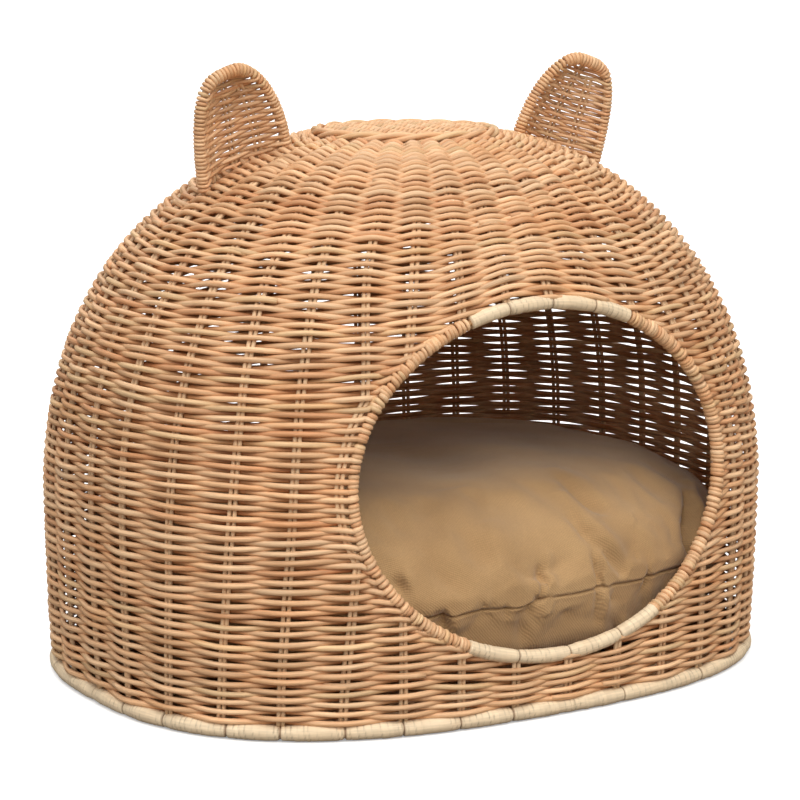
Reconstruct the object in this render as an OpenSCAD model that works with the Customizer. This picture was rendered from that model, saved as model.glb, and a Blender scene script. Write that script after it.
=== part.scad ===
/* [Basket size] */
// Half of the width across the belly
half_w = 250; // [247:0.5:253]
// Half of the depth across the belly
half_d = 196; // [194:0.5:198]
// Height of the dome at its middle
dome_h = 372; // [370:0.5:374]
// Height where the wall is widest
belly_h = 131; // [126:1:136]
// Share of the full width that the foot has
foot_share = 0.986; // [0.982:0.001:0.99]
// Roundness of the shoulders, where 2 is an ellipse
shoulder_p = 2.36; // [2.3:0.01:2.42]
// Squareness of the plan at the foot, where 2 is an ellipse
plan_n = 2.58; // [2.5:0.02:2.64]

/* [Weave] */
// Thickness of one weaver
weaver_d = 3.2; // [3:0.1:3.2]
// Thickness of one stake
stake_d = 3.1; // [2.8:0.1:3.1]
// Distance from the middle of the front to the first pair of stakes
stake_shift = 8; // [6:0.5:9]
// Thickness of the binding round the foot
binding_d = 12; // [11.6:0.1:12.2]

/* [Doorway] */
// Half of the width of the doorway's hoop, to its centreline
door_a = 145.5; // [144:0.5:147]
// Half of the height of the doorway's hoop, to its centreline
door_b = 114.5; // [113:0.5:116]
// Height of the doorway's middle
door_z = 155; // [154:0.5:156]
// Thickness of the rim round the doorway
rim_d = 10.4; // [10:0.1:10.6]

/* [Ears] */
// Half of the width of an ear's hoop at its root
ear_w = 33.5; // [31:0.5:34.5]
// Height of an ear's hoop above its root
ear_h = 68; // [62:1:70]
// How deeply an ear is cupped
ear_cup = 14; // [10:1:16]
// Thickness of an ear's rim
ear_rim_d = 9.4; // [9:0.1:9.6]

/* [Cushion] */
// Half of the cushion's width
cushion_a = 230; // [224:1:231]
// Half of the cushion's depth
cushion_b = 176; // [170:1:177]
// Height of the cushion's top above the ground
cushion_top = 146; // [134:1:148]
// Height of the cushion's seam above the ground
cushion_seam = 74; // [70:1:80]
// Thickness of the cushion's cloth
cloth = 1.5; // [1.2:0.1:1.8]

/* [Hidden] */
stakes = 36;
cut = 3;                      // pairs to each side of pair 0 that the doorway cuts
core_gap = 4.1;               // room between the two faces of the weave
mid = weaver_d + core_gap/2;  // depth of the stakes below the outside
inner_d = weaver_d + core_gap;
wall_t = inner_d + 3;
foot_z = 11.2;
sill = [foot_z, 34.6];
side = [35, 80, 131, 180, 228, 275];
dome = [275.4, 312, 341, 358, 367];
rises = concat([9.4], side, [312, 341, 358, 366.6]);

function ease(v) = let (c = min(1, max(0, v))) c*c*(3 - 2*c);
function climb(z) = max(0, (z - belly_h)/(dome_h - belly_h));
function share(z) = z <= belly_h
  ? 1 - (1 - foot_share)*pow((belly_h - z)/belly_h, 2)
  : pow(max(0, 1 - pow(climb(z), shoulder_p)), 1/shoulder_p);
function hx(z) = half_w*share(z);
function hy(z) = let (r = share(z), d = half_d/half_w)
  half_w*r*(d + (0.97 - d)*ease((0.7 - r)/0.46));
function squareness(z) = plan_n + (1.9 - plan_n)*climb(z);
function polar(f, a, b, n) =
  pow(pow(abs(cos(f))/a, n) + pow(abs(sin(f))/b, n), -1/n)*[cos(f), sin(f)];

// stakes stand at equal steps along the plan, and end evenly round the crown
plan_turn = [for (i = 0, s = 0; i <= 360;
  s = s + norm(polar(i - 89, 250, 196, plan_n) - polar(i - 90, 250, 196, plan_n)), i = i + 1)
  [s, i - 90]];
plan_len = plan_turn[360][0];
function wrap_len(s) = s - plan_len*floor(s/plan_len);
function foot_angle(k) = let (j = k - stakes*floor(k/stakes))
  lookup(wrap_len(j*plan_len/stakes + stake_shift), plan_turn);
// pairs beside the doorway lean towards it at mid height, and the nearest one bends clear of its rim
function signed(k) = k > stakes/2 ? k - stakes : k;
function lean(k) = let (s = signed(k))
  -sign(s)*lookup(abs(s), [[4, 0], [5, 2.45], [6, 2.6], [7, 1.3], [8, 0]]);
function aside(k, z) = abs(k - 32) < 0.1
  ? -1.7*max(0, 1 - pow((z - door_z)/95, 2))
  : lean(k)*sin(180*pow(min(1, max(0, z)/290), 1.4));
function turn(k, z) = let (j = k - stakes*floor(k/stakes), f = foot_angle(j),
  g = -87.5 + 360*j/stakes, d = g - f, e = d - 360*round(d/360))
  f + e*ease(climb(z)*1.1 - 0.2) + aside(j, z);
function outside(k, z) = let (q = polar(turn(k, z), hx(z), hy(z), squareness(z)))
  [q[0], q[1], z];
function unit(v) = v/norm(v);
function along(k, z) = unit(outside(k + 0.1, z) - outside(k - 0.1, z));
function outward(k, z) = unit(cross(outside(k + 0.1, z) - outside(k - 0.1, z),
  outside(k, z + 0.1) - outside(k, z - 0.1)));
function skin(k, z, d) = outside(k, z) - d*outward(k, z);
function ring(z, d, n) = [for (j = [0:n - 1]) skin(j*stakes/n, z, d)];
function flip(v) = [for (i = [len(v) - 1:-1:0]) v[i]];

// a closed skin over rows of points, closed both ways
module loop_mesh(p) {
  m = len(p); n = len(p[0]);
  polyhedron([for (r = p, q = r) q],
    [for (i = [0:m - 1], j = [0:n - 1], s = [0, 1])
      let (a = i*n + j, b = ((i + 1)%m)*n + j,
        c = ((i + 1)%m)*n + (j + 1)%n, d = i*n + (j + 1)%n)
      s == 0 ? [a, b, c] : [a, c, d]], convexity = 8);
}
// a bar through rows of points, with flat ends
module bar_mesh(p) {
  m = len(p); n = len(p[0]);
  polyhedron([for (r = p, q = r) q], concat(
    [for (i = [0:m - 2], j = [0:n - 1], s = [0, 1])
      let (a = i*n + j, b = (i + 1)*n + j, c = (i + 1)*n + (j + 1)%n, d = i*n + (j + 1)%n)
      s == 0 ? [a, b, c] : [a, c, d]],
    [[for (j = [0:n - 1]) j]], [[for (j = [n - 1:-1:0]) (m - 1)*n + j]]), convexity = 4);
}
// a slab between a front grid and a back grid of points
module slab_mesh(f, b) {
  m = len(f); n = len(f[0]); o = m*n;
  quads = concat(
    [for (i = [0:m - 2], j = [0:n - 2]) [i*n + j, (i + 1)*n + j, (i + 1)*n + j + 1, i*n + j + 1]],
    [for (i = [0:m - 2], j = [0:n - 2])
      [o + i*n + j, o + i*n + j + 1, o + (i + 1)*n + j + 1, o + (i + 1)*n + j]],
    [for (i = [0:m - 2]) [o + i*n, o + (i + 1)*n, (i + 1)*n, i*n]],
    [for (i = [0:m - 2]) let (a = i*n + n - 1) [a, a + n, o + a + n, o + a]],
    [for (j = [0:n - 2]) [j, j + 1, o + j + 1, o + j]],
    [for (j = [0:n - 2]) let (a = (m - 1)*n + j) [a, o + a, o + a + 1, a + 1]]);
  polyhedron(concat([for (r = f, q = r) q], [for (r = b, q = r) q]),
    [for (q = quads, s = [0, 1]) s == 0 ? [q[0], q[1], q[2]] : [q[0], q[2], q[3]]],
    convexity = 4);
}
// the section of a bar: n points round c, for a path that runs along cross(u, v)
function spot(c, u, v, r, n) = [for (j = [0:n - 1])
  c + r*cos(360*j/n + 30)*u + r*sin(360*j/n + 30)*v];

module wall_band(levels, d0, d1, n) {
  loop_mesh(concat([for (z = levels) ring(z, d0, n)], [for (z = flip(levels)) ring(z, d1, n)]));
}
module door_hole() {
  rotate([90, 0, 0]) linear_extrude(height = 260)
    polygon([for (i = [0:63]) [(door_a + 6)*cos(i*5.625), door_z + (door_b + 6)*sin(i*5.625)]]);
}
module stake(k, zs, side_step) {
  bar_mesh([for (z = zs) let (t = along(k, z), n = outward(k, z))
    spot(core(k, z) + side_step*t, t, -n, stake_d/2, 6)]);
}
module stake_pair(k, zs) color("wheat") {
  stake(k, zs, -0.56*stake_d);
  stake(k, zs, 0.56*stake_d);
}
// the stakes follow the straight runs between the levels, as the faces of the weave do
function level_below(z) = max([for (i = [0:len(rises) - 2]) if (rises[i] <= z || i == 0) i]);
function core(k, z) = let (i = level_below(z), a = rises[i], b = rises[i + 1], f = (z - a)/(b - a))
  skin(k, a, mid)*(1 - f) + skin(k, b, mid)*f;
function between(z0, z1) = concat([z0], [for (z = rises) if ((z > z0 + 4) && (z < z1 - 4)) z], [z1]);
function door_reach(k, z) = let (x = max(0, abs(outside(k, z)[0]) - 5))
  (door_b + 6.8)*sqrt(max(0, 1 - pow(x/(door_a + 6.8), 2)));
function door_over(k) = let (a = door_z + door_reach(k, door_z), b = door_z + door_reach(k, a))
  door_z + door_reach(k, b + 2);
function door_under(k) = door_z - door_reach(k, door_z - door_reach(k, door_z));

// the doorway's hoop lies in the wall
function front_y(x, z) =
  -hy(z)*pow(1 - pow(min(1, abs(x)/hx(z)), squareness(z)), 1/squareness(z));
function door_top(f) = [door_a*cos(f), front_y(door_a*cos(f), door_z + door_b*sin(f)),
  door_z + door_b*sin(f)];
function door_out(f) = let (q = door_top(f), h = 0.5)
  unit(cross([h, front_y(q[0] + h, q[2]) - q[1], 0], [0, front_y(q[0], q[2] + h) - q[1], h]));
function door_mid(f) = door_top(f) - mid*door_out(f);
function door_ring(f, r, n) = let (t = unit(door_mid(f + 0.5) - door_mid(f - 0.5)),
  o = door_out(f), u = unit(o - (o*t)*t)) spot(door_mid(f), u, cross(t, u), r, n);
module door_cover(f0, f1) {
  s = round((f1 - f0)/11);
  fs = [for (i = [0:s]) f0 + (f1 - f0)*i/s];
  loop_mesh(concat([for (f = fs) door_ring(f, rim_d/2, 8)],
    [for (f = flip(fs)) door_ring(f, 3, 8)]));
}

// ears
ear_root = [125, -1, 346.5];
ear_run = unit([63, -3, -20.6]);
ear_rise = unit([13.6, -10.5, 64])*ear_h;
ear_rows = [0.1, 0.26, 0.42, 0.57, 0.69, 0.79, 0.86];
// the ear's outer side is upright with a round shoulder, its inner side slopes
function ear_shape(f) = f < 90 ? let (g = 90 - 90*pow(1 - f/90, 2)) [pow(cos(g), 0.43), sin(g)]
  : [-pow(-cos(f), 1.16), sin(f)];
function ear_edge(f) = let (s = ear_shape(f)) ear_root + ear_run*ear_w*s[0] + ear_rise*s[1];
function ear_side(v, p) = ear_w*pow(1 - v*v, p) - 6.8;
function ear_half(v) = (ear_side(v, 0.215) + ear_side(v, 0.58))/2;
function ear_at(u, v) = ear_root + ear_run*(u*ear_half(v) + (ear_side(v, 0.215) - ear_side(v, 0.58))/2)
  + ear_rise*v + [0, ear_cup*(1 - 0.8*u*u)*sqrt(1 - v*v), 0];
// a point on the straight run between two columns of the ear's panel
function ear_on(u, v) = let (i = min(2, max(-3, floor(u*3))), w = u*3 - i)
  ear_at(i/3, v)*(1 - w) + ear_at((i + 1)/3, v)*w;
function ear_step(v) = 1.65/ear_half(v);
function ear_ring(f, r, n) = let (t = unit(ear_edge(f + 2) - ear_edge(f - 2)),
  o = unit([0, -1, 0] - ([0, -1, 0]*t)*t)) spot(ear_edge(f), o, cross(t, o), r, n);
module ear_frame() color("wheat") {
  bar_mesh([for (i = [0:12]) ear_ring(-1 + 180.5*i/12, 2.1, 6)]);
  for (u = [-1, 0, 1], s = [-1, 1])
    bar_mesh([for (v = concat([0.045], ear_rows)) if (v < 0.75 || u == 0)
      spot(ear_on(u*2/3 + s*ear_step(v), v), ear_run, [0, 1, 0], 1.4, 6)]);
}
module ear_wrap() color("burlywood") {
  fs = [for (i = [0:12]) 1.5 + 174.1*i/12];
  loop_mesh(concat([for (f = fs) ear_ring(f, ear_rim_d/2, 7)],
    [for (f = flip(fs)) ear_ring(f, 2.7, 7)]));
}
module ear_weave() color("tan") {
  for (y = [-5.4, 2.4])
    slab_mesh([for (v = ear_rows) [for (j = [0:6]) ear_at(-1 + j/3, v) + [0, y, 0]]],
      [for (v = ear_rows) [for (j = [0:6]) ear_at(-1 + j/3, v) + [0, y + 3, 0]]]);
}

// cushion
function cushion_row(a, grow, up) = let (p = up ? 3.6 : 5,
  r = pow(max(0, cos(a)), 2/p), h = pow(sin(a), 2/p),
  z = up ? cushion_seam + (cushion_top - cushion_seam + grow)*h
         : cushion_seam - (cushion_seam - 10.9 + grow)*h)
  [for (j = [0:35]) let (q = polar(j*10, (cushion_a + grow)*r, (cushion_b + grow)*r, plan_n))
    [q[0], q[1], z]];
function keep_side(row, k, up) = [for (q = row) [q[0], q[1], up ? max(k, q[2]) : min(k, q[2])]];
top_steps = [0, 14, 30, 48, 68, 84];
low_steps = [84, 60, 36, 16, 0];
module cushion_shell(steps, up) {
  k = cushion_seam + (up ? 0.2 : -0.2);
  out = [for (a = steps) keep_side(cushion_row(a, 0, up), k, up)];
  inn = [for (a = flip(steps)) keep_side(cushion_row(a, -cloth, up), k, up)];
  all_rows = concat(out, inn);
  m = len(all_rows); s = len(steps); tip = up ? s - 1 : 0;
  // the middle is closed by a flat fan on each face
  polyhedron([for (r = all_rows, q = r) q], concat(
    [for (i = [0:m - 2], j = [0:35], w = [0, 1]) if (i != s - 1 || up == false)
      let (a = i*36 + j, b = (i + 1)*36 + j, c = (i + 1)*36 + (j + 1)%36, d = i*36 + (j + 1)%36)
      w == 0 ? [a, b, c] : [a, c, d]],
    up ? [for (j = [0:35], w = [0, 1]) let (a = (m - 1)*36 + j, b = j, c = (j + 1)%36,
      d = (m - 1)*36 + (j + 1)%36) w == 0 ? [a, b, c] : [a, c, d]] : [],
    up ? [[for (j = [35:-1:0]) (s - 1)*36 + j], [for (j = [0:35]) s*36 + j]]
       : [[for (j = [0:35]) j], [for (j = [35:-1:0]) (m - 1)*36 + j]]), convexity = 6);
}

// nodes
module base_hoop() color("peru")
  loop_mesh([for (j = [5:-1:0]) [for (k = [0:71]) let (t = along(k/2, 2), n = outward(k/2, 60),
    c = skin(k/2, binding_d/2, mid), u = unit([n[0], n[1], 0]))
    c + 2.9*cos(j*60 + 30)*u + 2.9*sin(j*60 + 30)*[0, 0, 1]]]);
module base_binding() color("cornsilk") {
  f = [130, 157.5, 202.5, 247.5, 292.5, 337.5, 382.5, 410];
  g = [410, 360, 300, 240, 180, 130];
  r = binding_d/2;
  sec = concat([for (a = f) let (q = a == 130 || a == 410 ? r : r/cos(22.5)) q*[cos(a), sin(a)]],
    [for (a = g) 3.6*[cos(a), sin(a)]]);
  loop_mesh([for (q = flip(sec)) [for (k = [0:71]) let (n = outward(k/2, 60),
    c = skin(k/2, binding_d/2, mid), u = unit([n[0], n[1], 0]))
    [c[0], c[1], r] + q[0]*u + q[1]*[0, 0, 1]]]);
}
function floor_plan(d) = [for (j = [0:71]) let (q = skin(j/2, 6, d)) [q[0], q[1]]];
module floor_sticks() color("wheat")
  for (i = [-5:5], s = [-1.8, 1.8]) let (x = 40*i + s, a = hx(6) - 20,
    l = (hy(6) - 16)*pow(1 - pow(min(0.99, (abs(x) + 2)/a), plan_n), 1/plan_n))
    translate([x, 0, 5.85]) rotate([90, 0, 0]) cylinder(d = stake_d, h = 2*l, center = true, $fn = 24);
module floor_weave() color("tan") {
  translate([0, 0, 1.2]) linear_extrude(height = 3) polygon(floor_plan(mid + binding_d/2 + 1));
  translate([0, 0, 7.5]) linear_extrude(height = 3) polygon(floor_plan(mid + binding_d/2 + 1));
}
module wall_sill_outer() color("burlywood") wall_band(sill, 0, weaver_d, 72);
module wall_sill_inner() color("tan") wall_band(sill, inner_d, wall_t, 36);
module wall_panel(ks, d0, d1) slab_mesh([for (z = side) [for (k = ks) skin(k, z, d0)]],
  [for (z = side) [for (k = ks) skin(k, z, d1)]]);
module wall_front_outer() color("burlywood") difference() {
  wall_panel([-6.5:0.5:6.5], 0, weaver_d);
  door_hole();
}
module wall_back_outer() color("burlywood")
  wall_panel(concat([6.51], [for (k = [7:0.5:29]) k], [29.49]), 0, weaver_d);
module wall_side_inner() color("tan") difference() {
  wall_band(side, inner_d, wall_t, 36);
  door_hole();
}
module wall_dome_outer() color("burlywood") wall_band(dome, 0, weaver_d, 72);
module wall_dome_inner() color("tan") wall_band(dome, inner_d, wall_t, 36);
module door_hoop() color("peru")
  loop_mesh([for (i = [0:35]) door_ring(i*10, 2.2, 6)]);
module door_binding_top() color("cornsilk") door_cover(62.2, 112);
module door_binding_bottom() color("cornsilk") door_cover(242.2, 302.8);
module door_wrap_left() color("tan") door_cover(112.4, 241.8);
module door_wrap_right() color("tan") door_cover(-56.8, 61.8);
module door_stakes_upper() for (k = [-cut:cut])
  stake_pair(k, between(door_over(k), 366.6));
module door_stakes_lower() for (k = [-cut:cut])
  stake_pair(k, between(9.4, door_under(k)));
module crown_border() color("tan") translate([0, 0, 366])
  rotate_extrude($fn = 96) translate([60.6, 0]) circle(r = 4.5, $fn = 32);
module crown_weave() color("burlywood") {
  rotate_extrude($fn = 96) polygon([[0, 366.6], [55.6, 366.6], [55.6, 369.2], [30, 371.3], [0, 372]]);
  translate([0, 0, 360]) cylinder(r = 55.6, h = 3.2, $fn = 96);
}
module crown_sticks() color("wheat") for (i = [-3:3], s = [-1.8, 1.8]) let (x = 14*i + s)
  translate([x, 0, 364.9]) rotate([90, 0, 0])
    cylinder(d = stake_d, h = 2*sqrt(55*55 - x*x) - 2, center = true, $fn = 24);
module ear_right_frame() ear_frame();
module ear_right_wrap() ear_wrap();
module ear_right_weave() ear_weave();
module ear_left_frame() mirror([1, 0, 0]) ear_frame();
module ear_left_wrap() mirror([1, 0, 0]) ear_wrap();
module ear_left_weave() mirror([1, 0, 0]) ear_weave();
module cushion_top_cover() color("darkkhaki") cushion_shell(top_steps, true);
module cushion_bottom_cover() color("darkkhaki") cushion_shell(low_steps, false);
module cushion_filling() color("ivory") {
  rows = concat([for (a = low_steps) if (a > 0) cushion_row(a, -cloth - 0.4, false)],
    [for (a = top_steps) cushion_row(a, -cloth - 0.4, true)]);
  bar_mesh(rows);
}

base_hoop();
base_binding();
floor_sticks();
floor_weave();
wall_sill_outer();
wall_sill_inner();
wall_front_outer();
wall_back_outer();
wall_side_inner();
wall_dome_outer();
wall_dome_inner();
door_hoop();
door_binding_top();
door_binding_bottom();
door_wrap_left();
door_wrap_right();
door_stakes_upper();
door_stakes_lower();
crown_border();
crown_weave();
crown_sticks();
ear_left_frame();
ear_left_wrap();
ear_left_weave();
ear_right_frame();
ear_right_wrap();
ear_right_weave();
stake_pair(4, rises);  // stake_pair_04
stake_pair(5, rises);  // stake_pair_05
stake_pair(6, rises);  // stake_pair_06
stake_pair(7, rises);  // stake_pair_07
stake_pair(8, rises);  // stake_pair_08
stake_pair(9, rises);  // stake_pair_09
stake_pair(10, rises);  // stake_pair_10
stake_pair(11, rises);  // stake_pair_11
stake_pair(12, rises);  // stake_pair_12
stake_pair(13, rises);  // stake_pair_13
stake_pair(14, rises);  // stake_pair_14
stake_pair(15, rises);  // stake_pair_15
stake_pair(16, rises);  // stake_pair_16
stake_pair(17, rises);  // stake_pair_17
stake_pair(18, rises);  // stake_pair_18
stake_pair(19, rises);  // stake_pair_19
stake_pair(20, rises);  // stake_pair_20
stake_pair(21, rises);  // stake_pair_21
stake_pair(22, rises);  // stake_pair_22
stake_pair(23, rises);  // stake_pair_23
stake_pair(24, rises);  // stake_pair_24
stake_pair(25, rises);  // stake_pair_25
stake_pair(26, rises);  // stake_pair_26
stake_pair(27, rises);  // stake_pair_27
stake_pair(28, rises);  // stake_pair_28
stake_pair(29, rises);  // stake_pair_29
stake_pair(30, rises);  // stake_pair_30
stake_pair(31, rises);  // stake_pair_31
stake_pair(32, rises);  // stake_pair_32
cushion_top_cover();
cushion_bottom_cover();
cushion_filling();
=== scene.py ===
"""Looks of a woven rattan pet basket with a cushion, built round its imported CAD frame.

Every strand is a round rod swept along its own path, and the pale bindings are tubes grooved
between the turns of cane. Paths are worked out in millimetres on the same wall that the CAD
model has, and turned into metres when a mesh is made.
"""

import math

import bmesh
import bpy
import numpy as np
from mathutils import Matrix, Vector


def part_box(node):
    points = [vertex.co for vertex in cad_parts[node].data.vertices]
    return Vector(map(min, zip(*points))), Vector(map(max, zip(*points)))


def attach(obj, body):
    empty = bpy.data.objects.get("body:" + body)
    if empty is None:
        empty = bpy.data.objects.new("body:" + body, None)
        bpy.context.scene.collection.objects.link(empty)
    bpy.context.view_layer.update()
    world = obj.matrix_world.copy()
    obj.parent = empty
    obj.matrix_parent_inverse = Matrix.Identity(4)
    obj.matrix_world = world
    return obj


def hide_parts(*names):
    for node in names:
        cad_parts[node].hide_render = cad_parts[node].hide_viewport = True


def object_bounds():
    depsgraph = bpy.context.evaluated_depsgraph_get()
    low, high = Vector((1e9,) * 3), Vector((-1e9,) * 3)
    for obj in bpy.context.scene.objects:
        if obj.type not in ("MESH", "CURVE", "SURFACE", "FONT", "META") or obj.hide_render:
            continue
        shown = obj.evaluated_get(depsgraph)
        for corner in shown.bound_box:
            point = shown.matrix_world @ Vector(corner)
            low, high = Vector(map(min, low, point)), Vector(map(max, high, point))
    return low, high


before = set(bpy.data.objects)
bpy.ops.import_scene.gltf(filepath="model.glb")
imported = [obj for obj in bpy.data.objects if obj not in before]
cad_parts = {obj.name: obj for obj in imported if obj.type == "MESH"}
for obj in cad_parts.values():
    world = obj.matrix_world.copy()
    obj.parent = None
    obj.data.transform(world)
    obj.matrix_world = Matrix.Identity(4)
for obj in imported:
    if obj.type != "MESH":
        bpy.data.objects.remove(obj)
cad_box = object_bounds()

MM = 0.001
rng = np.random.default_rng(11)

# -------- sizes of the wall, in mm
HALF_W = (cad_box[1].x - cad_box[0].x) / 2 / MM
HALF_D = cad_box[1].y / MM
DOME_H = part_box("crown_weave")[1].z / MM
BELLY_H = 131.0  # height where the wall is widest
FOOT_SHARE = 0.986
SHOULDER_P = 2.36
PLAN_N, CROWN_N = 2.58, 1.9  # squareness of the plan at the foot and at the crown
STAKES = 36
STAKE_SHIFT = 8.0
MID = 5.25  # depth of the stakes below the outside
OVER = 3.25  # how far a weaver's middle swings to each side of that depth
WEAVER_R = 1.88
LAP = 0.34  # how far a weaver's end runs past its last stake, in bays
STAKE_R, STAKE_GAP = 1.45, 1.58  # radius, and half the distance between the two of a pair
STAKE_FOOT, STAKE_TOP = 9.4, 366.4  # heights where the stakes end
TIGHT_PAIR = 32  # the pair next to the doorway's left side
PITCH_SIDE, PITCH_TOP = 3.13, 2.93  # from row to row
FIRST_ROW_Z = 11.6
SILL_TOP, DOME_LOW, DOME_MID = 34.8, 275.2, 341.0  # heights where one zone ends

# -------- doorway, ears and crown
DOOR_A, DOOR_B, DOOR_Z = 145.5, 114.5, 155.0
TURN_R = 3.3  # radius of the turns round the hoop, to the middle of the strand
WRAP_R, WRAP_PITCH = 1.46, 3.05  # strands that fill the hoop between the rows' own turns
HOOP_GAP = 0.36  # least distance from the hoop to the next stake, in bays
COVER_R, BASE_R = 4.8, 5.25  # radii of the pale bindings of the doorway and of the foot
# stretches of the hoop that are bound or wrapped, in degrees
TOP_COVER = (62.2, 112.0)
LEFT_WRAP = (112.4, 241.8)
LOW_COVER = (242.2, 302.8)
RIGHT_WRAP = (-56.8, 61.8)
# rows above and below the doorway bend round it: height, distance, and reach upwards
TOP_PUSH_Z, TOP_PUSH, TOP_REACH = 260.0, 15.3, 75.0
LOW_PUSH_Z, LOW_PUSH = 41.0, 6.3
EAR_ROOT = np.array([125.0, -1.0, 346.5])
EAR_RUN = np.array([63.0, -3.0, -20.6]) / math.hypot(63, 3, 20.6)
EAR_RISE = np.array([13.6, -10.5, 64.0]) / math.hypot(13.6, 10.5, 64) * 68.0
EAR_W, EAR_CUP = 33.5, 15.0
OUTER_P, INNER_P = 0.43, 1.16  # the ear's outer side is upright with a round shoulder, its inner side slopes
EAR_R = 1.32
EAR_TURN = 3.3  # radius of the turns round the rim
EAR_PITCH = 2.7  # from turn to turn
EAR_SWING = 2.35
EAR_INSET = 6.2  # from the rim's line to the panel's edge
EAR_NARROW = 0.78  # share of the height above which a row passes the middle stakes only
EAR_STAKES = (-2 / 3, 0, 2 / 3)
CROWN_R, CROWN_Z = 60.6, 366.0


# -------- the wall as a surface
def ease(v):
    c = np.clip(v, 0, 1)
    return c * c * (3 - 2 * c)


def unit(v):
    return v / np.maximum(np.linalg.norm(v, axis=-1, keepdims=True), 1e-12)


def run_of(path):
    """Length along a path up to each of its points."""
    return np.r_[0, np.cumsum(np.linalg.norm(np.diff(path, axis=0), axis=1))]


def climb(z):
    """0 up to the widest height, and 1 at the top."""
    return np.maximum(0, (z - BELLY_H) / (DOME_H - BELLY_H))


def share(z):
    low = 1 - (1 - FOOT_SHARE) * ((BELLY_H - z) / BELLY_H) ** 2
    up = np.maximum(1e-9, 1 - climb(z) ** SHOULDER_P) ** (1 / SHOULDER_P)
    return np.where(z <= BELLY_H, low, up)


def half_x(z):
    return HALF_W * share(z)


def half_y(z):
    r, d = share(z), HALF_D / HALF_W
    return HALF_W * r * (d + (0.97 - d) * ease((0.7 - r) / 0.46))


def squareness(z):
    return PLAN_N + (CROWN_N - PLAN_N) * climb(z)


def polar(turn, a, b, n):
    """Point of a superellipse in the direction of turn, in degrees from +X."""
    c, s = np.cos(np.radians(turn)), np.sin(np.radians(turn))
    r = (np.abs(c / a) ** n + np.abs(s / b) ** n) ** (-1 / n)
    return r * c, r * s


PLAN_TURN = np.arange(0, 361) - 90.0
PLAN_STEP = np.stack(polar(PLAN_TURN, HALF_W, HALF_D, PLAN_N), -1)
PLAN_RUN = run_of(PLAN_STEP)


def lean(j):
    """Degrees by which a pair of stakes beside the doorway leans towards it at mid height.

    A helper script worked some of the values out from the photo, and they were rounded.
    """
    s = np.where(j > STAKES / 2, j - STAKES, j)
    left = np.interp(-s, [3.4, 4, 5, 6, 7, 8], [0, 3.4, 2.45, 2.6, 1.3, 0])
    right = np.interp(s, [4, 5, 6, 7, 8], [0, 2.45, 2.6, 1.3, 0])
    return left - right


def turn_of(k, z):
    """Direction of the pair of stakes k at height z: even steps along the foot, even angles at the crown."""
    j = np.mod(k, STAKES)
    foot_run = np.mod(j * PLAN_RUN[-1] / STAKES + STAKE_SHIFT, PLAN_RUN[-1])
    foot = np.interp(foot_run, PLAN_RUN, PLAN_TURN)
    d = 360 / STAKES * j - 87.5 - foot
    bend = np.sin(np.pi * np.clip(z / 290, 0, 1) ** 1.4)
    return foot + (d - 360 * np.round(d / 360)) * ease(climb(z) * 1.1 - 0.2) + lean(j) * bend


def outside(k, z):
    """Point on the wall's outside at pair k, which may lie between two pairs, and height z."""
    k, z = np.broadcast_arrays(np.asarray(k, float), np.asarray(z, float))
    x, y = polar(turn_of(k, z), half_x(z), half_y(z), squareness(z))
    return np.stack([x, y, z], -1)


def outward(k, z):
    across = outside(k + 0.1, z) - outside(k - 0.1, z)
    up = outside(k, z + 0.1) - outside(k, z - 0.1)
    return unit(np.cross(across, up))


def along(k, z):
    return unit(outside(k + 0.1, z) - outside(k - 0.1, z))


def skin(k, z, depth):
    return outside(k, z) - np.asarray(depth, float)[..., None] * outward(k, z)


def front_y(x, z):
    n = squareness(z)
    return -half_y(z) * (1 - np.minimum(1, np.abs(x) / half_x(z)) ** n) ** (1 / n)


def door_top(f):
    """Point of the doorway's edge on the wall's outside, f degrees round the doorway from its right."""
    x, z = DOOR_A * np.cos(np.radians(f)), DOOR_Z + DOOR_B * np.sin(np.radians(f))
    return np.stack([x, front_y(x, z), z], -1)


def door_mid(f):
    """Middle of the hoop at f degrees, and the wall's outward direction there."""
    q, h = door_top(f), 0.5
    x, z = q[..., 0], q[..., 2]
    gx, gz = front_y(x + h, z) - q[..., 1], front_y(x, z + h) - q[..., 1]
    nil = 0 * x
    out = unit(np.cross(np.stack([h + nil, gx, nil], -1), np.stack([nil, gz, h + nil], -1)))
    return q - MID * out, out


def door_frame(f):
    """Middle of the hoop at f degrees, and unit vectors out of the wall, across and along the hoop."""
    m, out = door_mid(f)
    run = unit(door_mid(f + 0.5)[0] - door_mid(f - 0.5)[0])
    out = unit(out - np.sum(out * run, -1, keepdims=True) * run)
    return m, out, np.cross(out, run), run


def inside_door(x, z):
    return np.hypot(x / DOOR_A, (z - DOOR_Z) / DOOR_B)


# -------- colours
def linear(r, g, b):
    c = np.array([r, g, b]) / 255
    return np.where(c <= 0.04045, c / 12.92, ((c + 0.055) / 1.055) ** 2.4)


RATTAN_TONES = ((223, 179, 136), (230, 190, 148), (218, 172, 128), (213, 161, 117), (222, 185, 140))
RATTAN = [linear(*tone) for tone in RATTAN_TONES]
RATTAN_SHARE = [0.4, 0.24, 0.2, 0.08, 0.08]
STAKE_TINT = linear(224, 190, 150)
CANE_TINT = linear(231, 208, 174)
WARM_LOSS = np.array([0.25, 0.75, 1.1])  # red, green and blue that a warm patch takes away
INNER_SHADE = np.array([0.32, 0.5, 0.64])  # painted shade: the same for the wall's inner side


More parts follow.
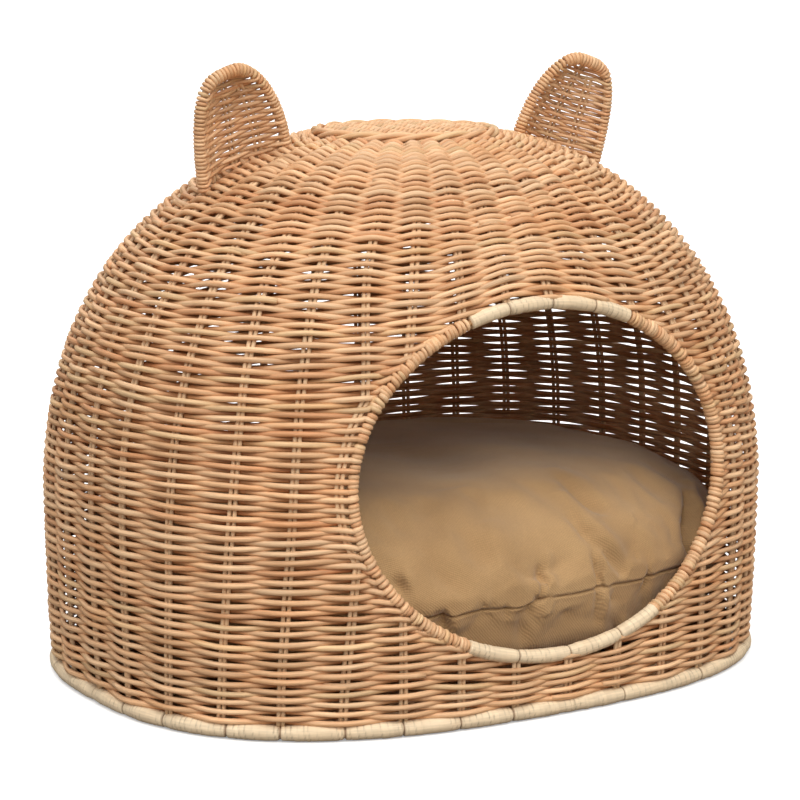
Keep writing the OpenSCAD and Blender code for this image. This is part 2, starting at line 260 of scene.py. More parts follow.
def strand_tint(n, length, base=None):
    """Colours of n points along one strand: one tone, with slow light and warm patches."""
    tone = RATTAN[rng.choice(len(RATTAN), p=RATTAN_SHARE)] if base is None else base
    tone = tone * (1 + rng.normal(0, 0.045))
    knots = max(3, int(length / 45))
    s, at = np.linspace(0, 1, n), np.linspace(0, 1, knots)
    light = np.interp(s, at, rng.normal(0, 0.06, knots))
    warm = np.interp(s, at, np.maximum(0, rng.normal(-0.06, 0.1, knots)))
    return tone * (1 + light[:, None]) * (1 - warm[:, None] * WARM_LOSS)


def weaver_tint(path, depth):
    """Colours along a weaver, with painted shade that makes it darker and browner where it runs on the wall's
    inner side.
    """
    # share of the strand on the wall's inner side, which gets painted shade
    inner = ease((depth - MID + 0.5 * OVER) / (1.5 * OVER))[:, None]
    run = np.linalg.norm(np.diff(path, axis=0), axis=1).sum()
    return strand_tint(len(path), run) * (1 - inner * INNER_SHADE)


# -------- strands and meshes
def smooth(points, steps):
    """Points on a curve through the given points, with so many steps from each to the next."""
    p = np.vstack([2 * points[0] - points[1], points, 2 * points[-1] - points[-2]])
    u = (np.arange(steps) / steps)[:, None]
    out = []
    for i in range(1, len(p) - 2):
        a, b, c, d = p[i - 1], p[i], p[i + 1], p[i + 2]
        square = 2 * a - 5 * b + 4 * c - d
        cube = 3 * b - a - 3 * c + d
        out.append(0.5 * (2 * b + (c - a) * u + square * u**2 + cube * u**3))
    return np.vstack(out + [points[-1:]])


def sweep(path, radius, sides):
    """Rings of points round a path, carried along it without twist."""
    run = unit(np.gradient(path, axis=0))
    side = np.cross(run[0], [0.3, 0.2, 1.0])
    normal = np.empty_like(path)
    for i, t in enumerate(run):
        side = side - side.dot(t) * t
        side = side / math.sqrt(side.dot(side))
        normal[i] = side
    other = np.cross(run, normal)
    a = np.arange(sides) * 2 * math.pi / sides
    ring = np.cos(a)[None, :, None] * normal[:, None] + np.sin(a)[None, :, None] * other[:, None]
    return path[:, None] + np.broadcast_to(radius, (len(path),))[:, None, None] * ring


class Strands:
    """The strands of one piece, which become one mesh."""

    def __init__(self):
        self.parts = []

    def add(self, path, radius, tint=None, sides=7):
        """One round strand; tint is a colour per point, one base colour, or None."""
        run = run_of(path)
        if tint is None or tint.ndim == 1:
            tint = strand_tint(len(path), run[-1], tint)
        self.rings(sweep(path, radius, sides), np.repeat(tint[:, None], sides, 1), run)

    def rings(self, points, tint, run):
        self.parts.append((points, tint, run))

    def build(self, name, material, slot, nodes):
        """The mesh, with its UV map, tints and fibre directions, riding on the basket."""
        pos, tints, fibre, uvs, corners, starts, totals = [], [], [], [], [], [], []
        base = first = 0
        count = len(self.parts)
        for number, (points, tint, run) in enumerate(self.parts):
            n, sides = points.shape[:2]
            a = np.arange(sides) * 2 * math.pi / sides
            grid = base + np.arange(n * sides).reshape(n, sides)
            turned = np.roll(grid, -1, 1)
            quads = np.stack([grid[:-1], turned[:-1], turned[1:], grid[1:]], -1).reshape(-1, 4)
            u = np.linspace(0.002, 0.998, n)
            v = (number + 0.08 + 0.84 * np.arange(sides + 1) / sides) / count
            uu = np.broadcast_to(u[:, None], (n, sides + 1))
            vv = np.broadcast_to(v[None], (n, sides + 1))
            uv = np.stack([uu, vv], -1)
            quad_uv = np.stack([uv[:-1, :-1], uv[:-1, 1:], uv[1:, 1:], uv[1:, :-1]], -2).reshape(-1, 2)
            caps = np.concatenate([grid[0][::-1], grid[-1]])
            cap_uv = np.concatenate([uv[0, :-1][::-1], uv[-1, :-1]])
            pos.append(points.reshape(-1, 3))
            tints.append(np.concatenate([tint, np.ones((n, sides, 1))], -1).reshape(-1, 4))
            offset = rng.uniform(-40, 40, 3)
            around = [run[:, None] / 10, np.cos(a), np.sin(a)]
            around = np.stack([np.broadcast_to(part, (n, sides)) for part in around], -1)
            fibre.append((around + offset).reshape(-1, 3))
            corners += [quads.ravel(), caps]
            uvs += [quad_uv, cap_uv]
            sizes = np.r_[np.full(len(quads), 4), sides, sides]
            starts.append(first + np.r_[0, np.cumsum(sizes)[:-1]])
            totals.append(sizes)
            first += sizes.sum()
            base += n * sides
        mesh = bpy.data.meshes.new(name)
        pos, corners, totals = np.concatenate(pos) * MM, np.concatenate(corners), np.concatenate(totals)
        mesh.vertices.add(len(pos))
        mesh.vertices.foreach_set("co", pos.astype(np.float32).ravel())
        mesh.loops.add(len(corners))
        mesh.loops.foreach_set("vertex_index", corners.astype(np.int32))
        mesh.polygons.add(len(totals))
        mesh.polygons.foreach_set("loop_start", np.concatenate(starts).astype(np.int32))
        mesh.polygons.foreach_set("loop_total", totals.astype(np.int32))
        mesh.polygons.foreach_set("use_smooth", np.ones(len(totals), bool))
        mesh.update(calc_edges=True)
        layer = mesh.uv_layers.new(name="OFBake")
        layer.data.foreach_set("uv", np.concatenate(uvs).astype(np.float32).ravel())
        colour = mesh.attributes.new("tint", "FLOAT_COLOR", "POINT")
        colour.data.foreach_set("color", np.clip(np.concatenate(tints), 0, 1).astype(np.float32).ravel())
        grain = mesh.attributes.new("fibre", "FLOAT_VECTOR", "POINT")
        grain.data.foreach_set("vector", np.concatenate(fibre).astype(np.float32).ravel())
        mesh.validate()
        piece = bpy.data.objects.new(name, mesh)
        bpy.context.scene.collection.objects.link(piece)
        mesh.materials.append(material)
        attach(piece, "basket")
        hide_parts(*nodes)


# -------- materials
def new_material(name, roughness, specular=0.5):
    material = bpy.data.materials.new(name)
    material.use_nodes = True
    tree = material.node_tree
    shader = tree.nodes["Principled BSDF"]
    shader.inputs["Roughness"].default_value = roughness
    shader.inputs["Specular IOR Level"].default_value = specular
    return material, tree, shader


def node(tree, kind, **values):
    made = tree.nodes.new(kind)
    for key, value in values.items():
        if key in made.inputs:
            made.inputs[key].default_value = value
        else:
            setattr(made, key, value)
    return made


def noise(tree, vector, stretch, scale, detail=3.0):
    mapping = node(tree, "ShaderNodeMapping")
    mapping.inputs["Scale"].default_value = stretch
    tree.links.new(vector, mapping.inputs["Vector"])
    texture = node(tree, "ShaderNodeTexNoise", Scale=scale, Detail=detail)
    tree.links.new(mapping.outputs["Vector"], texture.inputs["Vector"])
    return texture.outputs["Fac"]


def remap(tree, value, low, high, to_low, to_high):
    made = node(tree, "ShaderNodeMapRange")
    for key, number in (("From Min", low), ("From Max", high), ("To Min", to_low), ("To Max", to_high)):
        made.inputs[key].default_value = number
    tree.links.new(value, made.inputs["Value"])
    return made.outputs["Result"]


def times(tree, colour, factor):
    made = node(tree, "ShaderNodeVectorMath", operation="SCALE")
    tree.links.new(colour, made.inputs[0])
    tree.links.new(factor, made.inputs["Scale"])
    return made.outputs["Vector"]


def blend_to(tree, colour, other, factor):
    """A colour multiplied by another one where the factor is high."""
    made = node(tree, "ShaderNodeMix", data_type="RGBA", blend_type="MULTIPLY")
    tree.links.new(factor, made.inputs["Factor"])
    tree.links.new(colour, made.inputs["A"])
    made.inputs["B"].default_value = (*other, 1)
    return made.outputs["Result"]


def bump(tree, shader, height, strength, distance):
    made = node(tree, "ShaderNodeBump", Strength=strength, Distance=distance)
    tree.links.new(height, made.inputs["Height"])
    tree.links.new(made.outputs["Normal"], shader.inputs["Normal"])


def strand_material(name, roughness, streak=0.16, patch=0.4):
    """Peeled rattan: fine fibres along the strand, warm patches, and the strand's own tone."""
    material, tree, shader = new_material(name, roughness, 0.38)
    tint = node(tree, "ShaderNodeAttribute", attribute_name="tint")
    fibre = node(tree, "ShaderNodeAttribute", attribute_name="fibre").outputs["Vector"]
    fine = noise(tree, fibre, (0.35, 2.6, 2.6), 1.6, 4)
    coarse = noise(tree, fibre, (0.5, 0.5, 0.5), 1.1, 3)
    colour = times(tree, tint.outputs["Color"], remap(tree, fine, 0.3, 0.7, 1 - streak, 1 + streak * 0.6))
    colour = blend_to(tree, colour, (0.86, 0.66, 0.5), remap(tree, coarse, 0.5, 0.72, 0, patch))
    place = node(tree, "ShaderNodeTexCoord").outputs["Object"]
    stain = noise(tree, place, (1, 1, 2.2), 16, 3)
    colour = blend_to(tree, colour, (0.94, 0.76, 0.56), remap(tree, stain, 0.52, 0.7, 0, patch))
    tree.links.new(colour, shader.inputs["Base Color"])
    bump(tree, shader, fine, 0.35, 0.0003)
    return material


def hidden_wood(name, tone):
    """Bare wood for rods that the weave covers."""
    material, tree, shader = new_material(name, 0.6)
    place = node(tree, "ShaderNodeTexCoord").outputs["Object"]
    grain = noise(tree, place, (400, 60, 400), 1, 4)
    ramp = node(tree, "ShaderNodeMix", data_type="RGBA")
    tree.links.new(remap(tree, grain, 0.3, 0.7, 0, 1), ramp.inputs["Factor"])
    ramp.inputs["A"].default_value = (*(tone * 0.75), 1)
    ramp.inputs["B"].default_value = (*tone, 1)
    tree.links.new(ramp.outputs["Result"], shader.inputs["Base Color"])
    bump(tree, shader, grain, 0.3, 0.0004)
    return material


weaver_look = strand_material("rattan_weaver", 0.52, 0.24)
stake_look = strand_material("rattan_stake", 0.52, 0.16, 0.25)
cane_look = strand_material("cane_binding", 0.55, 0.14, 0.15)
hoop_look = hidden_wood("hoop_wood", linear(196, 150, 100))
stick_look = hidden_wood("stick_rattan", STAKE_TINT)


# -------- rows of weavers
def meridian():
    """Run along the mean meridian against height."""
    z = np.r_[np.linspace(6, 340, 1200), DOME_H - (DOME_H - 340) * np.linspace(1, 0.004, 1200)[1:] ** 2]
    r = (half_x(z) + half_y(z)) / 2
    return np.r_[0, np.cumsum(np.hypot(np.diff(r), np.diff(z)))], z, r


def row_heights():
    run, z, r = meridian()
    crown_edge = CROWN_R + 8.2
    s, end = np.interp(FIRST_ROW_Z, z, run), np.interp(-crown_edge, -r, run)
    bend = np.interp(DOME_LOW, z, run)
    rows = []
    while s < end:
        rows.append(float(np.interp(s, run, z)))
        s += PITCH_SIDE + (PITCH_TOP - PITCH_SIDE) * min(1, max(0, (s - bend) / (end - bend)))
    return rows


def wander(k, z):
    """The slow waviness that neighbouring rows share."""
    a = k * 2 * math.pi / STAKES
    return 0.9 * np.sin(4 * a + z / 26) + 0.6 * np.sin(7 * a - z / 15 + 2) + 0.35 * np.sin(13 * a + z / 9 + 4)


def row_height(base, k, own):
    """Height of a row at k: its level, its waviness, and the push of the doorway's hoop."""
    a = k * 2 * math.pi / STAKES
    calm = min(1.0, (base - FIRST_ROW_Z + 2) / 12, max(0.0, DOME_H - 2 - base) / 25)
    z = base + calm * (wander(k, base) + sum(own[m] * np.sin((m + 2) * a + own[m + 8]) for m in range(8)))
    q = outside(k, base)
    bulge = np.where(q[..., 1] < 0, np.maximum(0, 1 - (q[..., 0] / 95) ** 2) ** 2, 0)
    if base >= TOP_PUSH_Z:
        up = max(0.0, 1 - (base - TOP_PUSH_Z) / TOP_REACH)
    else:
        up = max(0.0, 1 - (TOP_PUSH_Z - base) / 10)
    down = (base - 11) / (LOW_PUSH_Z - 11) if base <= LOW_PUSH_Z else max(0.0, 1 - (base - LOW_PUSH_Z) / 8)
    return z + bulge * (TOP_PUSH * up - LOW_PUSH * down)


def swing(phase):
    """Share of the full swing: nearly straight from one stake's front to the next one's back."""
    c = np.cos(phase)
    return c * (0.74 + 0.26 * c * c)


def turn_round_hoop(f, front, drift):
    """Points of a turn round the doorway's hoop at f degrees, coming from the front or from the back."""
    m, out, inner, run = (v[None] for v in door_frame(np.float64(f)))
    a = np.radians(np.linspace(-50, 215, 8) if front else np.linspace(230, -35, 8))[:, None]
    r = TURN_R - np.array([0, 0, 0, 0, 0, 0, 0.3, 1.3])[:, None]
    slide = np.linspace(-0.5, 0.9, 8)[:, None] * drift
    return m + r * (np.cos(a) * out + np.sin(a) * inner) + slide * run


def hoop_ring(f, r, radius, strands, drift):
    m, out, inner, run = (v[None] for v in door_frame(np.float64(f)))
    a = np.radians(np.linspace(-100, 268, 17))[:, None]
    path = m + r * (np.cos(a) * out + np.sin(a) * inner) + np.linspace(-0.8, 0.8, 17)[:, None] * drift * run
    strands.add(path, radius, sides=7)


def in_range(f, span):
    return span[0] <= f <= span[1]


def own_waves():
    return np.r_[rng.normal(0, 0.16, 8), rng.uniform(0, 2 * math.pi, 8)]


def row_radius(n):
    knots = max(3, n // 22)
    wave = np.interp(np.linspace(0, 1, n), np.linspace(0, 1, knots), rng.normal(0, 0.045, knots))
    return WEAVER_R * (1 + np.clip(rng.normal(0, 0.045), -0.09, 0.09) + wave)


def add_full_row(strands, number, base, steps):
    """One row round the whole basket, made of a few strands whose ends lap each other."""
    own, start, left = own_waves(), rng.integers(0, STAKES), STAKES
    while left > 0:
        bays = int(min(left, rng.integers(7, 16)))
        if left - bays < 4:
            bays = left
        k = np.linspace(start - LAP, start + bays + LAP, int((bays + 2 * LAP) * steps) + 1)
        depth = MID - OVER * swing(math.pi * (k + number))
        tail = np.minimum(k - k[0], k[-1] - k) / 0.5
        pokes = [rng.choice([1.2, -0.9], p=[0.7, 0.3]) for _ in range(2)]
        poke = np.where(k < k[0] + 1, *pokes)
        depth = depth + poke * np.maximum(0, 1 - tail) ** 2
        lap = 0.6 * (np.maximum(0, 1 - (k - k[0]) / 0.7) - np.maximum(0, 1 - (k[-1] - k) / 0.7))
        path = skin(k, row_height(base, k, own) + lap, depth)
        strands.add(path, row_radius(len(k)), weaver_tint(path, depth))
        start, left = start + bays, left - bays


def hoop_meets(base, own):
    """k where a row reaches the hoop on the doorway's right and left, or None for a row that passes it."""
    k = np.linspace(-5.5, 5.5, 1101)
    q = outside(k, row_height(base, k, own))
    inner = inside_door(q[:, 0], q[:, 2]) < 1
    if not inner.any():
        return None
    return k[inner].max(), k[inner].min()


def add_door_row(strands, number, base, own, steps, ends):
    """One row that turns round the doorway's hoop at both ends, or ends in its pale binding."""
    right, left = hoop_meets(base, own)
    left += STAKES
    per_mm = 1 / np.linalg.norm(outside(6.1, base) - outside(5.9, base)) * 0.2
    ribs = np.arange(math.ceil(right + HOOP_GAP), math.floor(left - HOOP_GAP) + 1)
    at = np.r_[right, ribs, left]
    phase = np.r_[ribs[0] - 1, ribs, ribs[-1] + 1]
    k = np.linspace(right, left, int((left - right) * steps) + 1)
    depth = MID - OVER * swing(math.pi * (np.interp(k, at, phase) + number))
    z = row_height(base, k, own)
    q = outside(k, z)
    angle = np.degrees(np.arctan2((z - DOOR_Z) / DOOR_B, q[:, 0] / DOOR_A))
    keep = np.ones(len(k), bool)
    tails = []
    for end, f in ((0, angle[0]), (-1, angle[-1])):
        f = f % 360 if end else f
        covered = in_range(f % 360, TOP_COVER) or in_range(f % 360, LOW_COVER)
        edge = np.abs(k - k[end]) / per_mm
        if covered:
            depth = MID + (depth - MID) * ease(edge / 12 + 0.15)
            tails.append(None)
        else:
            keep &= edge > 7.5
            front = math.cos(math.pi * (phase[end] + number)) > 0
            tails.append((f, front))
            ends.append(f)
    path, depth = skin(k, z, depth)[keep], depth[keep]
    for side, tail in enumerate(tails):
        if tail is None:
            continue
        turn = turn_round_hoop(tail[0], tail[1], 1 if number % 2 else -1)
        before = len(path)
        if side == 0:
            path = np.vstack([smooth(np.vstack([turn[::-1], path[:3]]), 2)[:-5], path[1:]])
            depth = np.r_[np.full(len(path) - before, MID - OVER), depth]
        else:
            path = np.vstack([path[:-1], smooth(np.vstack([path[-3:], turn]), 2)[4:]])
            depth = np.r_[depth, np.full(len(path) - before, MID - OVER)]
    strands.add(path, row_radius(len(path)), weaver_tint(path, depth))


ROWS = row_heights()
sill, low, high, dome, cap = Strands(), Strands(), Strands(), Strands(), Strands()
hoop_ends = []
for number, base in enumerate(ROWS):
    own = own_waves()
    cut = hoop_meets(base, own) if SILL_TOP < base < DOME_LOW else None
    if cut:
        add_door_row(low if base < DOOR_Z else high, number, base, own, 8, hoop_ends)
    else:
        group = sill if base < LOW_PUSH_Z else dome if base < DOME_MID else cap
        add_full_row(group, number, base, 8 if base < DOME_MID else 7)

# turns that fill the hoop where the rows meet it far apart
wraps = {}
for name, span in (("door_wrap_left", LEFT_WRAP), ("door_wrap_right", RIGHT_WRAP)):
    f = np.arange(span[0] - 0.5, span[1] + 0.5, 0.05)
    run = run_of(door_mid(f)[0])
    met = [e if name.endswith("left") else (e + 180) % 360 - 180 for e in hoop_ends]
    met = sorted(e for e in met if span[0] - 0.4 <= e <= span[1] + 0.4)
    stops = np.interp(np.r_[span[0], met, span[1]], f, run)
    wraps[name] = Strands()
    for a, b in zip(stops[:-1], stops[1:]):
        extra = int(round((b - a) / WRAP_PITCH)) - 1
        for i in range(extra):
            place = a + (b - a) * (i + 1) / (extra + 1)
            reach = TURN_R + rng.normal(0, 0.12)
            radius = WRAP_R + rng.normal(0, 0.06)
            hoop_ring(np.interp(place, run, f), reach, radius, wraps[name], rng.choice([-1, 1]))

SIDE_SKINS = ["wall_front_outer", "wall_back_outer", "wall_side_inner"]
DOME_SKINS = ["wall_dome_outer", "wall_dome_inner"]
sill.build("weave_sill", weaver_look, "rattan_weave", ["wall_sill_outer", "wall_sill_inner"])
low.build("weave_side_low", weaver_look, "rattan_weave", SIDE_SKINS)
high.build("weave_side_high", weaver_look, "rattan_weave", SIDE_SKINS)
dome.build("weave_dome", weaver_look, "rattan_weave", DOME_SKINS)
cap.build("weave_crown_rows", weaver_look, "rattan_weave", DOME_SKINS)
for name, strands in wraps.items():
    strands.build(name + "_turns", weaver_look, "rattan_weave", [name])


# -------- stakes
def rib_k(k, z):
    """Place along the wall of a pair of stakes; the pair next to the doorway gives way to its hoop."""
    shift = 0 * z
    if k == TIGHT_PAIR:
        for _ in range(80):
            q = outside(k - shift, z)
            shift = shift + 0.012 * ((inside_door(q[:, 0], z) < 1.045) & (q[:, 1] < 0))
    return k - shift


def stake_path(k, z, side):
    at = rib_k(k, z)
    drift = 0.22 * np.sin(z / 23 + k * 2.1 + side) + 0.15 * np.sin(z / 9 + k)
    path = skin(at, z, MID + 0.15 * np.sin(z / 17 + k + side))
    return path + (side * STAKE_GAP + drift)[:, None] * along(at, z)


def stake_levels(low_z, high_z):
    run, z, _ = meridian()
    a, b = np.interp([low_z, high_z], z, run)
    return np.interp(np.linspace(a, b, max(4, int((b - a) / 6))), run, z)


def door_limits(k):
    """Heights where a pair above and below the doorway ends in the hoop."""
    z = np.linspace(20, 300, 1400)
    q = outside(k, z)
    inner = z[inside_door(q[:, 0], z) < 1.0]
    return inner.min(), inner.max()


groups = {
    "stakes_left": range(25, 33),
    "stakes_back_left": range(18, 25),
    "stakes_back_right": range(11, 18),
    "stakes_right": range(4, 11),
}
for name, pairs in groups.items():
    strands = Strands()
    for k in pairs:
        z = stake_levels(STAKE_FOOT, STAKE_TOP)
        for side in (-1, 1):
            strands.add(stake_path(k, z, side), STAKE_R, STAKE_TINT, sides=8)
    strands.build(name, stake_look, "rattan_stake", [f"stake_pair_{k:02d}" for k in pairs])
upper, lower = Strands(), Strands()
for k in range(-3, 4):
    lo, hi = door_limits(k)
    for side in (-1, 1):
        upper.add(stake_path(k, stake_levels(hi + 1, STAKE_TOP), side), STAKE_R, STAKE_TINT, sides=8)
        lower.add(stake_path(k, stake_levels(STAKE_FOOT, lo - 1), side), STAKE_R, STAKE_TINT, sides=8)
upper.build("stakes_above_door", stake_look, "rattan_stake", ["door_stakes_upper"])
lower.build("stakes_below_door", stake_look, "rattan_stake", ["door_stakes_lower"])


# -------- pale bindings
def binding(centres, out, inner, slits, radius):
    """A tube bound with flat cane: each turn of the strip has its own width, height and slant."""
    run = run_of(centres)
    sides = 18
    a = np.arange(sides) * 2 * math.pi / sides
    edges = [0.0]
    while edges[-1] < run[-1] + 6:
        edges.append(edges[-1] + rng.uniform(2.6, 5.6))
    edges = np.array(edges)
    place = run[:, None] + 1.2 * np.sin(a + 0.6)[None]
    turn = np.clip(np.searchsorted(edges, place) - 1, 0, len(edges) - 2)
    near = np.minimum(place - edges[turn], edges[turn + 1] - place)
    height = rng.normal(0, 0.1, len(edges))[turn]
    depth_of = rng.uniform(0.1, 1, len(edges)) ** 1.6
    groove = np.exp(-((near / 0.35) ** 2)) * depth_of[turn]
    gap = np.min(np.abs(run[:, None] - np.asarray(slits)[None]), axis=1)
    slit = np.exp(-((gap / 0.55) ** 4))[:, None]
    swell = 0.45 * np.sin(np.clip(gap / 14, 0, 1) * math.pi / 2)[:, None]
    r = radius - 0.45 + swell + height - 0.4 * groove - 1.2 * slit
    spokes = np.cos(a)[None, :, None] * out[:, None] + np.sin(a)[None, :, None] * inner[:, None]
    points = centres[:, None] + r[..., None] * spokes
    tone = CANE_TINT * (1 + rng.normal(0, 0.03, len(edges)))[turn][..., None]
    # painted shade: darker in the grooves between the turns, and nearly black in the slits
    tint = tone * (1 - 0.45 * groove[..., None]) * (1 - 0.85 * slit[..., None] * np.array([0.9, 1, 1.05]))
    strands = Strands()
    strands.rings(points, tint, run)
    return strands


for name, span in (("door_binding_top", TOP_COVER), ("door_binding_bottom", LOW_COVER)):
    f = np.linspace(span[0] - 0.3, span[1] + 0.3, 190)
    m, out, inner, _ = door_frame(f)
    slits = []
    for k in range(-2, 3):
        x = outside(k, DOOR_Z + (DOOR_B + 0.5) * (1 if name.endswith("top") else -1))[0]
        i = int(np.argmin(np.abs(m[:, 0] - x)))
        if 8 < i < len(f) - 8:
            slits.append(run_of(m)[i])
    binding(m, out, inner, slits, COVER_R).build(name + "_cane", cane_look, "cane_binding", [name])

k = np.linspace(0, STAKES + 0.06, 1750)
out = outward(k, 60 + 0 * k)
out = unit(out * np.array([1, 1, 0]))
core = skin(k, BASE_R + 0 * k, MID)
core[:, 2] = BASE_R
slit_at = np.arange(1, STAKES) + rng.uniform(-0.12, 0.12, STAKES - 1)
base_slits = np.interp(slit_at[rng.random(STAKES - 1) < 0.8], k, run_of(core))
up = np.broadcast_to([0.0, 0, 1.0], core.shape)
base_cane = binding(core, out, up, base_slits, BASE_R)
base_cane.build("base_binding_cane", cane_look, "cane_binding", ["base_binding"])


# -------- floor and crown
def add_panel(strands, levels, half_length, step, height, amp, radius, sides, steps):
    """Straight rows across parallel sticks that stand a step apart."""
    for i, y in enumerate(levels):
        reach = half_length(y)
        if reach < step * 0.4:
            continue
        x = np.linspace(-reach, reach, max(5, int(2 * reach / step * steps)))
        z = height(x, y) + amp * swing(math.pi * (x / step + i))
        strands.add(np.stack([x, y + 0.25 * np.sin(x / 31 + i), z], -1), radius, sides=sides)


FLOOR_Z, FLOOR_INSET, FLOOR_STEP = 5.85, 13.5, 40.0  # height, distance to the wall, and from stick to stick
floor_a, floor_b = half_x(6.0) - FLOOR_INSET, half_y(6.0) - FLOOR_INSET
DISC_R, DISC_STEP = 56.5, 14.0


def floor_reach(y):
    return floor_a * (1 - (abs(y) / floor_b) ** PLAN_N) ** (1 / PLAN_N)


def floor_height(x, y):
    return FLOOR_Z + 0 * x


def disc_reach(y):
    return math.sqrt(max(0, DISC_R**2 - y * y))


def disc_height(x, y):
    return STAKE_TOP - 1.6 * (x * x + y * y) / 3100


floor = Strands()
floor_levels = np.arange(-floor_b + 2, floor_b - 1, 3.12)
add_panel(floor, floor_levels, floor_reach, FLOOR_STEP, floor_height, 2.9, 1.42, 6, 6)
floor.build("floor_rows", weaver_look, "rattan_weave", ["floor_weave"])
disc = Strands()
add_panel(disc, np.arange(-54.5, 55, 2.95), disc_reach, DISC_STEP, disc_height, 3.9, 1.4, 7, 8)
disc.build("crown_rows", weaver_look, "rattan_weave", ["crown_weave"])
border = Strands()
for j in range(3):
    a = np.linspace(0, 2 * math.pi * 1.01, 260) + j * 2.09
    twist = a * 6 + j * 2 * math.pi / 3
    r = CROWN_R + 2.2 * np.cos(twist)
    border.add(np.stack([r * np.cos(a), r * np.sin(a), CROWN_Z + 2.35 * np.sin(twist)], -1), 2.1, sides=8)
border.build("crown_border_rope", weaver_look, "rattan_weave", ["crown_border"])


# -------- ears
# The right ear is worked out, and the left one mirrors it.
def ear_edge(f):
    """Line of the right ear's rim, f degrees from its outer foot, over the tip, to its inner foot."""
    g = np.radians(np.where(f < 90, 90 - 90 * (1 - np.minimum(f, 90) / 90) ** 2, f))
    c, s = np.cos(g), np.sin(g)
    x = np.where(f < 90, np.abs(c) ** OUTER_P, -np.abs(c) ** INNER_P)
    return EAR_ROOT + EAR_RUN * (EAR_W * x)[..., None] + EAR_RISE * s[..., None]


def ear_reach(v, p):
    """Distance from the ear's middle line to the panel's edge, at share v of its height."""
    return EAR_W * np.maximum(0, 1 - v * v) ** (p / 2) - EAR_INSET


def ear_half(v):
    return (ear_reach(v, OUTER_P) + ear_reach(v, INNER_P)) / 2


def ear_frame(f):
    """Point of the rim, and unit vectors forwards and across the rim."""
    f = np.asarray(f, float)
    run = unit(ear_edge(f + 1.5) - ear_edge(f - 1.5))
    out = np.array([0, -1.0, 0])
    out = unit(out - np.sum(out * run, -1, keepdims=True) * run)
    return ear_edge(f), out, np.cross(run, out)


def ear_at(u, v):
    """Point of the cupped panel: u is -1 to 1 across it, and v its share of the height."""
    u, v = np.broadcast_arrays(np.asarray(u, float), np.asarray(v, float))
    cup = EAR_CUP * (1 - 0.85 * np.abs(u) ** 3) * np.sqrt(np.maximum(0, 1 - v * v))
    middle = (ear_reach(v, OUTER_P) - ear_reach(v, INNER_P)) / 2
    return (EAR_ROOT + EAR_RUN * (middle + u * ear_half(v))[..., None] + EAR_RISE * v[..., None]
            + np.array([0, 1.0, 0]) * cup[..., None])


def ear_side(f):
    """Which way the rim's third axis points: above 0 towards the ear's middle."""
    m, _, side = ear_frame(f)
    return float(np.dot(side, EAR_ROOT + EAR_RISE * 0.45 - m))


def ear_turn(f, front, inward):
    """A turn round the ear's rim: inward is 1 where the panel lies along the rim's third axis."""
    m, out, side = (v[None] for v in ear_frame(f))
    a = np.radians(np.linspace(25, -225, 8) if front else np.linspace(155, 405, 8))[:, None]
    r = EAR_TURN - np.array([0, 0, 0, 0, 0, 0, 0.2, 0.9])[:, None]
    return m + r * (np.cos(a) * out + np.sin(a) * side * inward)


def build_ear(name, mirror):
    """The rows, the rim's turns and the stakes of one ear, with the hoop inside the rim."""
    rows, rim, stakes = Strands(), Strands(), Strands()
    flip = np.array([mirror, 1, 1])
    levels = np.arange(0.02, 0.93, 0.0375)
    met = []
    for i, v in enumerate(levels):
        u = np.linspace(-1, 1, 25)
        phase = np.interp(u, [-1.25, *EAR_STAKES, 1.25], [0, 1, 2, 3, 4]) + i
        if v > EAR_NARROW:
            phase = np.interp(u, [-1.2, 0, 1.2], [0, 1, 2]) + i
        path = ear_at(u, v + 0.003 * np.sin(5 * u + i))
        path = path + np.array([0, -1.0, 0]) * (EAR_SWING * swing(math.pi * phase))[:, None]
        f = math.degrees(math.asin(v))
        right = 90 - 90 * math.sqrt(1 - f / 90)
        met += [right, 180 - f]
        first = math.cos(math.pi * i) > 0
        start = ear_turn(180 - f, first, -1 if ear_side(180 - f) < 0 else 1)
        last_front = math.cos(math.pi * (i + (4 if v <= EAR_NARROW else 2))) > 0
        end = ear_turn(right, last_front, -1 if ear_side(right) < 0 else 1)
        path = np.vstack([smooth(np.vstack([start[::-1], path[1:3]]), 2)[:-2], path[2:-2],
                          smooth(np.vstack([path[-3:-1], end]), 2)[2:]])
        rows.add(path * flip, EAR_R * (1 + rng.normal(0, 0.05)), sides=6)
    f = np.linspace(-4, 181, 1200)
    run = run_of(ear_edge(f))
    stops = np.interp(sorted([-2] + met + [178]), f, run)
    for a, b in zip(stops[:-1], stops[1:]):
        extra = int(round((b - a) / EAR_PITCH)) - 1
        for i in range(extra):
            at = np.interp(a + (b - a) * (i + 1) / (extra + 1), run, f)
            m, out, side = (w[None] for w in ear_frame(at))
            t = np.radians(np.linspace(90, 455, 15))[:, None]
            turn = m + EAR_TURN * (np.cos(t) * out + np.sin(t) * side)
            rim.add(turn * flip, EAR_R * (1.03 + rng.normal(0, 0.05)), sides=7)
    for u in EAR_STAKES:
        for side in (-1, 1):
            v = np.linspace(-0.06, 0.97 if u == 0 else 0.86, 26)
            shift = side * 1.5 / ear_half(np.clip(v, 0, 0.9))
            stakes.add(ear_at(u + shift, np.clip(v, -0.2, 0.985)) * flip, 1.15, STAKE_TINT, sides=7)
    hoop = np.linspace(-3, 180, 60)
    stakes.add(ear_edge(hoop) * flip, 2.2, STAKE_TINT, sides=8)
    rows.build(name + "_rows", weaver_look, "rattan_weave", [name + "_weave"])
    rim.build(name + "_rim_turns", weaver_look, "rattan_weave", [name + "_wrap"])
    stakes.build(name + "_stakes", stake_look, "rattan_stake", [name + "_frame"])


build_ear("ear_right", 1)
build_ear("ear_left", -1)

